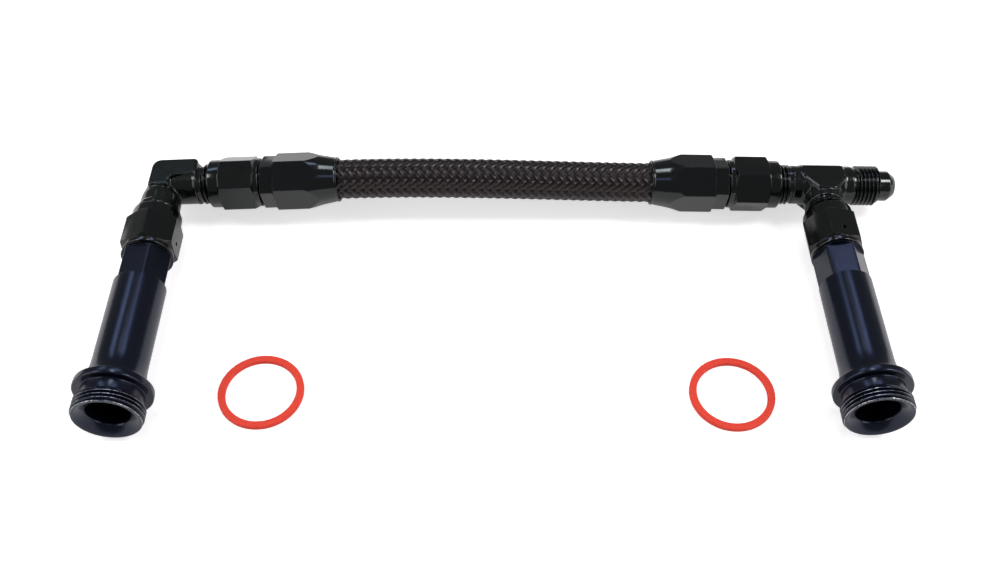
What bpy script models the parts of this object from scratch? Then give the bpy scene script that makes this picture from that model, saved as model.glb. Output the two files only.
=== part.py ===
"""Dual feed fuel line: two inlet adapters, a braided hose between an elbow and a tee, and two gaskets.

The inlets point along -Y, the hose runs along X behind them, and +Z is up from the bench.
"""
import math

import bmesh
import bpy
from mathutils import Matrix, Vector

MM = 0.001
GAP = 0.3 * MM            # clearance between pieces that touch on the real line

# Layout of the whole line
INLET_SPACING = 236.0 * MM
LEG_LENGTH = 98.5 * MM    # inlet face to the hose axis
ELBOW_ROLL = math.radians(2.9)   # the elbow leans so that its hose end points a little up
TEE_ROLL = math.radians(1.3)
ELBOW_LEG_REACH = 15.2 * MM      # corner to the mouth of each swivel nut
TEE_LEG_REACH = 15.2 * MM
ELBOW_RUN_REACH = 17.1 * MM
TEE_RUN_REACH = 15.7 * MM

# Inlet adapter
INLET_THREAD_RADIUS = 11.1 * MM  # 7/8 inch male thread
INLET_THREAD_LENGTH = 4.9 * MM
INLET_FACE_CHAMFER = 0.5 * MM
INLET_FACE_LAND = 0.6 * MM
RELIEF_RADIUS = 10.0 * MM
FLANGE_RADIUS = 12.4 * MM
FLANGE_FRONT = 9.1 * MM
FLANGE_THICKNESS = 2.6 * MM
FLANGE_EDGE = 0.4 * MM
FLARE_LENGTH = 8.5 * MM
FLARE_STEP = 1.4 * MM
BARREL_RADIUS = 8.7 * MM
BARREL_END = 51.5 * MM           # where the wrench flats start
ADAPTER_FLATS = 15.1 * MM
INLET_MOUTH_DEPTH = 2.4 * MM
INLET_MOUTH_MIDDLE_RADIUS = 8.2 * MM
INLET_MOUTH_MIDDLE_DEPTH = 0.85 * MM
INLET_BORE_RADIUS = 6.5 * MM
INLET_BORE_DEPTH = 24.0 * MM
FUEL_BORE_RADIUS = 3.1 * MM

# Swivel nuts, all four alike
NUT_LENGTH = 18.2 * MM
NUT_FLATS = 17.46 * MM           # 11/16 inch
NUT_COLLAR_LENGTH = 3.9 * MM
NUT_COLLAR_RADIUS = 8.5 * MM
NUT_LIP_LENGTH = 1.7 * MM
NUT_LIP_RADIUS = 8.6 * MM
NUT_EDGE = 0.4 * MM
NUT_THREAD_BORE = 7.45 * MM
NUT_SHOULDER = 10.7 * MM         # mouth to the step that pulls the seat home
CHAMFER_ANGLE = math.radians(30.0)
WIRE_RADIUS = 0.45 * MM
WIRE_PLACE = 12.6 * MM           # mouth to the retaining wire
WIRE_HOLE_RADIUS = 0.8 * MM

# Swivel seat on the adapters and hose ends
SEAT_NECK_RADIUS = 5.8 * MM
SEAT_HEAD_RADIUS = 7.1 * MM
SEAT_FACE = 7.5 * MM             # nut mouth to the seat's front face
SEAT_MOUTH_RADIUS = 5.9 * MM
CONE_ANGLE = math.radians(37.0)
NUT_TO_HEX_GAP = 0.6 * MM

# Male flare ends of the elbow and tee
THREAD_RADIUS = 7.14 * MM        # 9/16 inch male thread
NECK_RADIUS = 6.4 * MM
NOSE_RADIUS = 5.4 * MM
THREAD_END = 6.6 * MM            # nut mouth to the last thread
NOSE_END = 7.8 * MM
TIP_RADIUS = 3.6 * MM

# Elbow and tee forgings
ELBOW_ARM_RADIUS = 7.0 * MM
ELBOW_RUN_BARE = 4.1 * MM        # end of the body to the nut's mouth on the hose side
ELBOW_RUN_END_RADIUS = 7.2 * MM
ELBOW_RUN_END_WIDTH = 1.0 * MM
ELBOW_LEG_BARE = 0.5 * MM        # and on the inlet side
ELBOW_LEG_END_RADIUS = 7.4 * MM
ELBOW_LEG_END_WIDTH = 2.4 * MM
ELBOW_CORNER_RADIUS = 5.5 * MM   # the leg is thinner at the corner than at its end
ELBOW_NECK = 1.2 * MM            # body end to the first thread
ELBOW_PAD_HEIGHT = 7.2 * MM
ELBOW_PAD_RUN_OUTSIDE = 6.4 * MM
ELBOW_PAD_RUN_INSIDE = 1.3 * MM
ELBOW_PAD_RUN_LENGTH = 12.7 * MM
ELBOW_PAD_LEG_OUTSIDE = 3.6 * MM
ELBOW_PAD_LEG_INSIDE = 3.9 * MM
ELBOW_PAD_LEG_LENGTH = 6.2 * MM
ELBOW_CORNER_ROUND = 3.2 * MM
ELBOW_EDGE_ROUND = 1.2 * MM
TEE_ARM_RADIUS = 6.9 * MM
TEE_ARM_END = 11.0 * MM
TEE_NECK = 0.4 * MM
TEE_CORE_RADIUS = 7.2 * MM
TEE_PAD_HEIGHT = 7.3 * MM
TEE_PAD_WIDTH = 14.6 * MM
TEE_PAD_BACK = 3.0 * MM
TEE_PAD_SIDE = 2.8 * MM
TEE_PAD_FRONT = 8.0 * MM
TEE_PAD_TIP = 6.0 * MM
INLET_THREAD_END = 20.4 * MM     # the tee's free end, from the branch axis
INLET_NOSE_END = 24.2 * MM
EDGE = 0.4 * MM

# Hose ends
NIPPLE_FLATS = 16.2 * MM
NIPPLE_HEX_LENGTH = 4.5 * MM
NIPPLE_THREAD_RADIUS = 6.2 * MM
NIPPLE_THREAD_LENGTH = 5.5 * MM
NIPPLE_TAIL_RADIUS = 4.4 * MM
NIPPLE_TAIL_LENGTH = 13.0 * MM
SOCKET_FLATS = 18.0 * MM
SOCKET_LENGTH = 22.3 * MM
SOCKET_TAPER_START = 10.9 * MM
SOCKET_FLAT_END = 15.4 * MM
SOCKET_END_RADIUS = 7.8 * MM
SOCKET_MOUTH_EDGE = 0.5 * MM
HOSE_INSERTION = 14.5 * MM       # how far the hose goes into its socket

# Hose
LINER_BORE_RADIUS = 4.7 * MM
LINER_RADIUS = 5.8 * MM
HOSE_RADIUS = 7.0 * MM
HOSE_SECTIONS = 12

# Inlet gaskets, lying flat in front of the hose
GASKET_RADIUS = 13.8 * MM
GASKET_HOLE_RADIUS = 11.43 * MM
GASKET_THICKNESS = 1.6 * MM
LEFT_GASKET = (42.8 * MM, 17.6 * MM)     # inward of the left inlet axis, behind the inlet faces
RIGHT_GASKET = (41.1 * MM, 16.3 * MM)

# How far each hexagon is turned, in degrees from the top
LEFT_ADAPTER_TURN = 21.0
RIGHT_ADAPTER_TURN = 20.0
LEFT_LEG_NUT_TURN = 0.0
RIGHT_LEG_NUT_TURN = 40.0
LEFT_HOSE_NUT_TURN = -6.0
RIGHT_HOSE_NUT_TURN = 26.0
LEFT_NIPPLE_TURN = 10.0
RIGHT_NIPPLE_TURN = 9.0
LEFT_SOCKET_TURN = 3.0
RIGHT_SOCKET_TURN = 11.0

TURN_STEPS = 28
SMALL_TURN_STEPS = 20
GASKET_STEPS = 36
HOLE_STEPS = 12
WIRE_SIDES = 6
LINER_SIDES = 14
BRAID_SIDES = 16

HEX_STEP = 60.0           # degrees from one corner of a hexagon to the next
MERGE_DISTANCE = 0.005 * MM
CUT_MARGIN = 2.0 * MM     # how far a cutter reaches past the surface it cuts
SHARP_ANGLE = math.radians(40.0)

AXIS_HEIGHT = FLANGE_RADIUS
UP = Vector((0.0, 0.0, 1.0))
BACK = Vector((0.0, 1.0, 0.0))


def clear_scene():
    for item in list(bpy.data.objects):
        bpy.data.objects.remove(item, do_unlink=True)


def collection(name):
    group = bpy.data.collections.new(name)
    bpy.context.scene.collection.children.link(group)
    return group


def material(name, color, roughness, metallic):
    mat = bpy.data.materials.new(name)
    mat.use_nodes = True
    shader = mat.node_tree.nodes["Principled BSDF"]
    shader.inputs["Base Color"].default_value = (*color, 1.0)
    shader.inputs["Roughness"].default_value = roughness
    shader.inputs["Metallic"].default_value = metallic
    mat.diffuse_color = (*color, 1.0)
    return mat


def add_object(name, mesh, matrix, group, mat=None):
    obj = bpy.data.objects.new(name, mesh)
    obj.matrix_world = matrix
    group.objects.link(obj)
    if mat:
        mesh.materials.append(mat)
    return obj


def frame(origin, direction, up):
    """Matrix with local Z along the piece, X as its top and Y at 90 degrees from the top."""
    z = direction.normalized()
    x = (up - z * up.dot(z)).normalized()
    y = z.cross(x)
    return Matrix.Translation(origin) @ Matrix((x, y, z)).transposed().to_4x4()


def turned(name, profile, matrix, group, mat=None, steps=TURN_STEPS):
    """Turns a closed or capped (radius, place) profile about local Z, outer side top to bottom."""
    mesh = bpy.data.meshes.new(name)
    points = [(radius, 0.0, place) for radius, place in profile]
    closed = profile[0][0] > 0.0
    edges = [(i, i + 1) for i in range(len(points) - 1)]
    if closed:
        edges.append((len(points) - 1, 0))
    mesh.from_pydata(points, edges, [])
    obj = add_object(name, mesh, matrix, group, mat)
    screw = obj.modifiers.new("turn", "SCREW")
    screw.axis = "Z"
    screw.angle = math.tau
    screw.steps = steps
    screw.render_steps = steps
    screw.use_merge_vertices = True
    screw.merge_threshold = MERGE_DISTANCE
    screw.use_smooth_shade = True
    return obj


def ring(inner, outer, start, end):
    """Closed profile of a plain sleeve."""
    return [(outer, end), (outer, start), (inner, start), (inner, end)]


def as_cutter(obj):
    obj.hide_render = True
    obj.display_type = "WIRE"
    return obj


def prism(name, flats, start, end, turn, matrix, group):
    """Hexagonal cutter from start to end along local Z, one corner at the given turn."""
    corner = flats / math.sqrt(3.0)
    mesh = bpy.data.meshes.new(name)
    bm = bmesh.new()
    bmesh.ops.create_cone(bm, cap_ends=True, segments=6, radius1=corner, radius2=corner, depth=end - start)
    to_corner = min((v for v in bm.verts if v.co.z > 0), key=lambda v: abs(math.atan2(v.co.y, v.co.x)))
    first = math.atan2(to_corner.co.y, to_corner.co.x)
    bmesh.ops.rotate(bm, verts=bm.verts, matrix=Matrix.Rotation(math.radians(turn) - first, 3, "Z"))
    bmesh.ops.translate(bm, verts=bm.verts, vec=(0.0, 0.0, (start + end) / 2.0))
    bm.to_mesh(mesh)
    bm.free()
    return as_cutter(add_object(name, mesh, matrix, group))


def boolean(obj, other, operation):
    mod = obj.modifiers.new(other.name, "BOOLEAN")
    mod.operation = operation
    mod.object = other
    mod.solver = "EXACT"


def drill(obj, name, radius, start, end, matrix, group, steps=SMALL_TURN_STEPS):
    """Round hole along the local Z of a matrix."""
    profile = [(0.0, end), (radius, end), (radius, start), (0.0, start)]
    boolean(obj, as_cutter(turned(name, profile, matrix, group, steps=steps)), "DIFFERENCE")


def mirrored_turn(turn, side):
    """Turns count from the top toward the inlets at both ends, so the right end's are reversed."""
    return turn * -side


def leg_frame(side):
    """Frame at an inlet's face, looking along the leg toward the hose."""
    origin = Vector((side * INLET_SPACING / 2.0, 0.0, AXIS_HEIGHT))
    return frame(origin, BACK, UP)


def corner_point(side):
    return Vector((side * INLET_SPACING / 2.0, LEG_LENGTH, AXIS_HEIGHT))


def run_direction(side):
    roll = ELBOW_ROLL if side < 0 else TEE_ROLL
    return Vector((-side * math.cos(roll), 0.0, math.sin(roll)))


def run_frame(side, start=0.0):
    """Frame on the elbow's or tee's run axis, looking toward the middle of the hose."""
    direction = run_direction(side)
    return frame(corner_point(side) + direction * start, direction, UP)


def leg_nut_frame(side, reach):
    """Frame at the mouth of a leg's swivel nut, looking from the fitting toward the inlet."""
    return frame(corner_point(side) - BACK * reach, -BACK, UP)


def seat_profile(length):
    """Outer points of the swivel seat, from its neck at length down to its face, in nut places."""
    head_end = NUT_SHOULDER - GAP
    groove = WIRE_RADIUS + GAP
    groove_radius = (SEAT_NECK_RADIUS + GAP / 2.0) - groove
    return [
        (SEAT_NECK_RADIUS, length),
        (SEAT_NECK_RADIUS, WIRE_PLACE + groove),
        (groove_radius, WIRE_PLACE + groove),
        (groove_radius, WIRE_PLACE - groove),
        (SEAT_NECK_RADIUS, WIRE_PLACE - groove),
        (SEAT_NECK_RADIUS, head_end),
        (SEAT_HEAD_RADIUS, head_end),
        (SEAT_HEAD_RADIUS, SEAT_FACE),
        (SEAT_MOUTH_RADIUS, SEAT_FACE),
        (FUEL_BORE_RADIUS, SEAT_FACE + (SEAT_MOUTH_RADIUS - FUEL_BORE_RADIUS) / math.tan(CONE_ANGLE)),
    ]


def adapter_profile(nut_mouth):
    """Closed profile of the inlet adapter, from its swivel seat at the top to its inlet face."""
    hex_end = nut_mouth - NUT_LENGTH - NUT_TO_HEX_GAP
    seat = seat_profile(NUT_LENGTH + NUT_TO_HEX_GAP)
    points = [(radius, nut_mouth - place) for radius, place in reversed(seat)]
    flange_back = FLANGE_FRONT + FLANGE_THICKNESS
    points += [(BARREL_RADIUS - EDGE, hex_end), (BARREL_RADIUS, hex_end - EDGE)]
    flare_steps = 5
    for i in range(flare_steps + 1):
        angle = math.pi / 2.0 * i / flare_steps
        radius = BARREL_RADIUS + (FLANGE_RADIUS - FLARE_STEP - BARREL_RADIUS) * (1.0 - math.cos(angle))
        points.append((radius, flange_back + FLARE_LENGTH * (1.0 - math.sin(angle))))
    points += [
        (FLANGE_RADIUS - FLANGE_EDGE, flange_back),
        (FLANGE_RADIUS, flange_back - FLANGE_EDGE),
        (FLANGE_RADIUS, FLANGE_FRONT + FLANGE_EDGE),
        (FLANGE_RADIUS - FLANGE_EDGE, FLANGE_FRONT),
        (RELIEF_RADIUS, FLANGE_FRONT),
        (RELIEF_RADIUS, INLET_THREAD_LENGTH + EDGE),
        (INLET_THREAD_RADIUS, INLET_THREAD_LENGTH),
        (INLET_THREAD_RADIUS, INLET_FACE_CHAMFER),
        (INLET_THREAD_RADIUS - INLET_FACE_CHAMFER, 0.0),
        (INLET_THREAD_RADIUS - INLET_FACE_CHAMFER - INLET_FACE_LAND, 0.0),
    ]
    step_length = (INLET_BORE_RADIUS - FUEL_BORE_RADIUS) / math.tan(CHAMFER_ANGLE)
    points += [
        (INLET_MOUTH_MIDDLE_RADIUS, INLET_MOUTH_MIDDLE_DEPTH),
        (INLET_BORE_RADIUS, INLET_MOUTH_DEPTH),
        (INLET_BORE_RADIUS, INLET_BORE_DEPTH),
        (FUEL_BORE_RADIUS, INLET_BORE_DEPTH + step_length),
    ]
    return points


def inlet_adapter(name, side, reach, turn, parts, cutters, mat):
    """One turned piece: threaded inlet, flange, flared barrel with six wrench flats, swivel seat."""
    place = leg_frame(side)
    nut_mouth = LEG_LENGTH - reach
    obj = turned(name, adapter_profile(nut_mouth), place, parts, mat)
    hex_end = nut_mouth - NUT_LENGTH - NUT_TO_HEX_GAP
    outer = ring(ADAPTER_FLATS / 2.0 - CUT_MARGIN, BARREL_RADIUS + CUT_MARGIN, BARREL_END, hex_end + EDGE)
    sleeve = as_cutter(turned(name + "_flats", outer, place, cutters, steps=SMALL_TURN_STEPS))
    core = prism(name + "_flats_core", ADAPTER_FLATS, 0.0, nut_mouth, turn, place, cutters)
    boolean(sleeve, core, "DIFFERENCE")
    boolean(obj, sleeve, "DIFFERENCE")
    return obj


def nut_profile():
    """Closed profile of the swivel nut, mouth and collar at the bottom, lip at the top."""
    corner = NUT_FLATS / math.sqrt(3.0)
    back_bore = SEAT_NECK_RADIUS + GAP
    groove = WIRE_RADIUS + GAP
    groove_radius = SEAT_NECK_RADIUS + GAP / 2.0 + groove
    lip_start = NUT_LENGTH - NUT_LIP_LENGTH
    lip_slope = (corner - NUT_LIP_RADIUS) * math.tan(CHAMFER_ANGLE)
    collar_slope = (corner - NUT_COLLAR_RADIUS) * math.tan(CHAMFER_ANGLE)
    return [
        (back_bore, NUT_LENGTH),
        (NUT_LIP_RADIUS - NUT_EDGE, NUT_LENGTH),
        (NUT_LIP_RADIUS, NUT_LENGTH - NUT_EDGE),
        (NUT_LIP_RADIUS, lip_start),
        (corner, lip_start - lip_slope),
        (corner, NUT_COLLAR_LENGTH + collar_slope),
        (NUT_COLLAR_RADIUS, NUT_COLLAR_LENGTH),
        (NUT_COLLAR_RADIUS, NUT_EDGE),
        (NUT_COLLAR_RADIUS - NUT_EDGE, 0.0),
        (NUT_THREAD_BORE, 0.0),
        (NUT_THREAD_BORE, NUT_SHOULDER),
        (back_bore, NUT_SHOULDER),
        (back_bore, WIRE_PLACE - groove),
        (groove_radius, WIRE_PLACE - groove),
        (groove_radius, WIRE_PLACE + groove),
        (back_bore, WIRE_PLACE + groove),
    ]


def swivel_nut(name, place, turn, hole_face, parts, cutters, mat):
    """Hexagon nut with a round collar, a lip and a small hole that lets the retaining wire in."""
    obj = turned(name, nut_profile(), place, parts, mat)
    hexagon = prism(name + "_hexagon", NUT_FLATS, -EDGE, NUT_LENGTH + EDGE, turn, place, cutters)
    boolean(obj, hexagon, "INTERSECT")
    angle = math.radians(turn + HEX_STEP / 2.0 + HEX_STEP * hole_face)
    out = place.to_3x3() @ Vector((math.cos(angle), math.sin(angle), 0.0))
    along = place.to_3x3() @ Vector((0.0, 0.0, 1.0))
    origin = place @ Vector((0.0, 0.0, WIRE_PLACE))
    drill(obj, name + "_wire_hole", WIRE_HOLE_RADIUS, SEAT_NECK_RADIUS + WIRE_RADIUS, NUT_FLATS,
          frame(origin, out, along), cutters, steps=HOLE_STEPS)
    return obj


def wire_ring(name, place, parts, mat):
    """Retaining wire, bent to a ring in the grooves of the nut and the seat's neck."""
    radius = SEAT_NECK_RADIUS + GAP / 2.0
    profile = []
    for i in range(WIRE_SIDES):
        angle = -math.tau * i / WIRE_SIDES
        profile.append((radius + WIRE_RADIUS * math.cos(angle), WIRE_PLACE + WIRE_RADIUS * math.sin(angle)))
    return turned(name, profile, place, parts, mat, steps=SMALL_TURN_STEPS)


def flare_end(thread_start, thread_end, nose_end):
    """Outer points of a male flare end, tip first, in places from the corner."""
    cone = (NOSE_RADIUS - TIP_RADIUS) / math.tan(CONE_ANGLE)
    return [
        (TIP_RADIUS, nose_end + cone),
        (NOSE_RADIUS, nose_end),
        (NOSE_RADIUS, thread_end),
        (THREAD_RADIUS - EDGE, thread_end),
        (THREAD_RADIUS, thread_end - EDGE),
        (THREAD_RADIUS, thread_start),
        (NECK_RADIUS, thread_start - EDGE),
    ]


def capped(points):
    """Closes a solid profile on the axis at both ends."""
    return [(0.0, points[0][1])] + points + [(0.0, points[-1][1])]


def elbow_arm(bare, end_radius, end_width, reach, corner):
    """Profile of one arm of the elbow, from the flare tip back to its points at the corner."""
    end_place = reach - bare
    return capped(flare_end(end_place + ELBOW_NECK + EDGE, reach + THREAD_END, reach + NOSE_END) + [
        (NECK_RADIUS, end_place),
        (end_radius - EDGE, end_place),
        (end_radius, end_place - EDGE),
        (end_radius, end_place - end_width + EDGE),
        (ELBOW_ARM_RADIUS, end_place - end_width),
    ] + corner)


def rounded_corner():
    """Points of a half ball that closes the leg behind the corner."""
    steps = 4
    angles = [math.pi / 2.0 * i / steps for i in range(steps)]
    radius = ELBOW_CORNER_RADIUS
    return [(radius * math.cos(angle), -radius * math.sin(angle)) for angle in angles]


def pad(name, outline, height, matrix, cutters, edge_round=0.0):
    """Flat forging pad from an outline; its edges on the outside of the bend can be rounded."""
    curve = bpy.data.curves.new(name, "CURVE")
    curve.dimensions = "2D"
    curve.fill_mode = "BOTH"
    curve.extrude = height
    spline = curve.splines.new("POLY")
    spline.points.add(len(outline) - 1)
    for point, (x, y) in zip(spline.points, outline):
        point.co = (x, y, 0.0, 1.0)
    spline.use_cyclic_u = True
    source = bpy.data.objects.new(name, curve)
    source.matrix_world = matrix
    cutters.objects.link(source)
    bpy.context.view_layer.update()
    depsgraph = bpy.context.evaluated_depsgraph_get()
    mesh = bpy.data.meshes.new_from_object(source.evaluated_get(depsgraph))
    bm = bmesh.new()
    bm.from_mesh(mesh)
    bmesh.ops.remove_doubles(bm, verts=bm.verts, dist=MERGE_DISTANCE)
    bmesh.ops.dissolve_limit(bm, angle_limit=math.radians(1.0), verts=bm.verts, edges=bm.edges)
    if edge_round:
        outside = [e for e in bm.edges if e.verts[0].co.z * e.verts[1].co.z > 0.0
                   and all(min(v.co.x, v.co.y) < 0.0 for v in e.verts)]
        bmesh.ops.bevel(bm, geom=outside, offset=edge_round, segments=3, profile=0.5, affect="EDGES",
                        material=-1)
    bmesh.ops.recalc_face_normals(bm, faces=bm.faces)
    bm.to_mesh(mesh)
    bm.free()
    place = source.matrix_world.copy()
    bpy.data.objects.remove(source, do_unlink=True)
    return as_cutter(add_object(name, mesh, place, cutters))


def forging_frame(side):
    """Frame at a corner: X along the run toward the hose, Y toward the inlet, Z across the pads."""
    x = run_direction(side)
    y = -BACK
    z = x.cross(y)
    return Matrix.Translation(corner_point(side)) @ Matrix((x, y, z)).transposed().to_4x4()


def elbow_outline():
    """L-shaped pad with its outside corner rounded."""
    points = [
        (ELBOW_PAD_RUN_LENGTH, -ELBOW_PAD_RUN_OUTSIDE), (ELBOW_PAD_RUN_LENGTH, ELBOW_PAD_RUN_INSIDE),
        (ELBOW_PAD_LEG_INSIDE, ELBOW_PAD_RUN_INSIDE), (ELBOW_PAD_LEG_INSIDE, ELBOW_PAD_LEG_LENGTH),
        (-ELBOW_PAD_LEG_OUTSIDE, ELBOW_PAD_LEG_LENGTH),
    ]
    centre_x = -ELBOW_PAD_LEG_OUTSIDE + ELBOW_CORNER_ROUND
    centre_y = -ELBOW_PAD_RUN_OUTSIDE + ELBOW_CORNER_ROUND
    steps = 6
    for i in range(steps + 1):
        angle = math.pi + math.pi / 2.0 * i / steps
        points.append((centre_x + ELBOW_CORNER_ROUND * math.cos(angle),
                       centre_y + ELBOW_CORNER_ROUND * math.sin(angle)))
    return points


def elbow(name, parts, cutters, mat):
    """Forged 90 degree elbow with two male flare ends and crossing fuel bores."""
    run_place = run_frame(-1)
    leg_place = leg_nut_frame(-1, 0.0)
    run = elbow_arm(ELBOW_RUN_BARE, ELBOW_RUN_END_RADIUS, ELBOW_RUN_END_WIDTH, ELBOW_RUN_REACH,
                    [(ELBOW_ARM_RADIUS, 0.0)])
    leg = elbow_arm(ELBOW_LEG_BARE, ELBOW_LEG_END_RADIUS, ELBOW_LEG_END_WIDTH, ELBOW_LEG_REACH,
                    rounded_corner())
    obj = turned(name, run, run_place, parts, mat)
    boolean(obj, as_cutter(turned(name + "_leg", leg, leg_place, cutters)), "UNION")
    plate = pad(name + "_pad", elbow_outline(), ELBOW_PAD_HEIGHT, forging_frame(-1), cutters,
                ELBOW_EDGE_ROUND)
    boolean(obj, plate, "UNION")
    drill(obj, name + "_run_bore", FUEL_BORE_RADIUS, -FUEL_BORE_RADIUS, LEG_LENGTH / 2.0, run_place, cutters)
    drill(obj, name + "_leg_bore", FUEL_BORE_RADIUS, 0.0, LEG_LENGTH / 2.0, leg_place, cutters)
    return obj


def tee_profile():
    """Profile of the tee's run: the hose end at the top and the free supply end at the bottom."""
    core = TEE_PAD_WIDTH / 2.0
    hose_end = flare_end(TEE_ARM_END + TEE_NECK + EDGE, TEE_RUN_REACH + THREAD_END, TEE_RUN_REACH + NOSE_END)
    supply_end = flare_end(TEE_ARM_END + TEE_NECK + EDGE, INLET_THREAD_END, INLET_NOSE_END)
    arm = [
        (NECK_RADIUS, TEE_ARM_END),
        (TEE_ARM_RADIUS - EDGE, TEE_ARM_END),
        (TEE_ARM_RADIUS, TEE_ARM_END - EDGE),
        (TEE_ARM_RADIUS, core + EDGE),
        (TEE_CORE_RADIUS, core),
    ]
    below = [(radius, -place) for radius, place in reversed(supply_end + arm)]
    return capped(hose_end + arm + below)


def tee_leg_profile():
    """Profile of the tee's branch toward the inlet leg."""
    end = flare_end(TEE_ARM_END + TEE_NECK + EDGE, TEE_LEG_REACH + THREAD_END, TEE_LEG_REACH + NOSE_END)
    return capped(end + [
        (NECK_RADIUS, TEE_ARM_END),
        (TEE_ARM_RADIUS - EDGE, TEE_ARM_END),
        (TEE_ARM_RADIUS, TEE_ARM_END - EDGE),
        (TEE_ARM_RADIUS, 0.0),
    ])


def tee_outline():
    """Pad of the tee: square at the back, narrowing to the branch."""
    half = TEE_PAD_WIDTH / 2.0
    tip = TEE_PAD_TIP / 2.0
    return [
        (half, -TEE_PAD_BACK), (half, TEE_PAD_SIDE), (tip, TEE_PAD_FRONT),
        (-tip, TEE_PAD_FRONT), (-half, TEE_PAD_SIDE), (-half, -TEE_PAD_BACK),
    ]


def tee(name, parts, cutters, mat):
    """Forged tee: hose end, inlet leg and the free male end for the fuel supply."""
    run_place = run_frame(1)
    leg_place = leg_nut_frame(1, 0.0)
    obj = turned(name, tee_profile(), run_place, parts, mat)
    boolean(obj, as_cutter(turned(name + "_leg", tee_leg_profile(), leg_place, cutters)), "UNION")
    boolean(obj, pad(name + "_pad", tee_outline(), TEE_PAD_HEIGHT, forging_frame(1), cutters), "UNION")
    drill(obj, name + "_run_bore", FUEL_BORE_RADIUS, -LEG_LENGTH / 2.0, LEG_LENGTH / 2.0, run_place, cutters)
    drill(obj, name + "_leg_bore", FUEL_BORE_RADIUS, 0.0, LEG_LENGTH / 2.0, leg_place, cutters)
    return obj


def nipple_end():
    """Place of the hose nipple's hexagon back face, from the nut's mouth."""
    return NUT_LENGTH + NUT_TO_HEX_GAP + NIPPLE_HEX_LENGTH


def nipple_profile():
    """Closed profile of the hose nipple, tail at the top and seat at the bottom."""
    corner = NIPPLE_FLATS / math.sqrt(3.0)
    hex_start = NUT_LENGTH + NUT_TO_HEX_GAP
    hex_end = nipple_end()
    thread_end = hex_end + NIPPLE_THREAD_LENGTH
    tail_end = thread_end + NIPPLE_TAIL_LENGTH
    slope = EDGE * math.tan(CHAMFER_ANGLE)
    return [
        (FUEL_BORE_RADIUS, tail_end),
        (NIPPLE_TAIL_RADIUS - EDGE, tail_end),
        (NIPPLE_TAIL_RADIUS, tail_end - EDGE),
        (NIPPLE_TAIL_RADIUS, thread_end),
        (NIPPLE_THREAD_RADIUS - EDGE, thread_end),
        (NIPPLE_THREAD_RADIUS, thread_end - EDGE),
        (NIPPLE_THREAD_RADIUS, hex_end),
        (corner - EDGE, hex_end),
        (corner, hex_end - slope),
        (corner, hex_start + slope),
        (corner - EDGE, hex_start),
    ] + seat_profile(hex_start)


def hose_nipple(name, place, turn, parts, cutters, mat):
    """Hose end body: swivel seat, thin hexagon, thread for the socket and tail inside the hose."""
    obj = turned(name, nipple_profile(), place, parts, mat, steps=SMALL_TURN_STEPS)
    boolean(obj, prism(name + "_hexagon", NIPPLE_FLATS, 0.0, LEG_LENGTH, turn, place, cutters), "INTERSECT")
    return obj


def socket_profile():
    """Closed profile of the hose socket, hose mouth at the top."""
    corner = SOCKET_FLATS / math.sqrt(3.0)
    flat = SOCKET_FLATS / 2.0
    start = nipple_end() + GAP
    end = start + SOCKET_LENGTH
    thread_bore = NIPPLE_THREAD_RADIUS + GAP
    hose_bore = HOSE_RADIUS + GAP
    hose_stop = end - HOSE_INSERTION - GAP
    slope = EDGE * math.tan(CHAMFER_ANGLE)
    return [
        (hose_bore, end),
        (SOCKET_END_RADIUS - SOCKET_MOUTH_EDGE / 2.0, end),
        (SOCKET_END_RADIUS, end - SOCKET_MOUTH_EDGE),
        (flat, start + SOCKET_FLAT_END),
        (corner, start + SOCKET_TAPER_START),
        (corner, start + slope),
        (corner - EDGE, start),
        (thread_bore, start),
        (thread_bore, hose_stop),
        (hose_bore, hose_stop),
    ]


def hose_socket(name, place, turn, parts, cutters, mat):
    """Socket that clamps the hose: hexagon at the nut end, tapering to a round mouth."""
    obj = turned(name, socket_profile(), place, parts, mat)
    boolean(obj, prism(name + "_hexagon", SOCKET_FLATS, 0.0, LEG_LENGTH, turn, place, cutters), "INTERSECT")
    return obj


def socket_mouth(side, reach):
    """Place of the socket's hose mouth, from the corner along the run."""
    return reach + nipple_end() + GAP + SOCKET_LENGTH


def hose_route(start_place, end_place):
    """Points of the hose's axis, from inside one socket to inside the other, as a smooth arch."""
    start_direction = run_direction(-1)
    end_direction = run_direction(1)
    start = corner_point(-1) + start_direction * start_place
    end = corner_point(1) + end_direction * end_place
    left_mouth = start + start_direction * HOSE_INSERTION
    right_mouth = end + end_direction * HOSE_INSERTION
    span = (right_mouth - left_mouth).length
    points = [start]
    for i in range(HOSE_SECTIONS + 1):
        t = i / HOSE_SECTIONS
        h00 = 2 * t ** 3 - 3 * t ** 2 + 1
        h10 = t ** 3 - 2 * t ** 2 + t
        h01 = -2 * t ** 3 + 3 * t ** 2
        h11 = t ** 3 - t ** 2
        points.append(left_mouth * h00 + start_direction * span * h10
                      + right_mouth * h01 - end_direction * span * h11)
    return points + [end]


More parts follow.
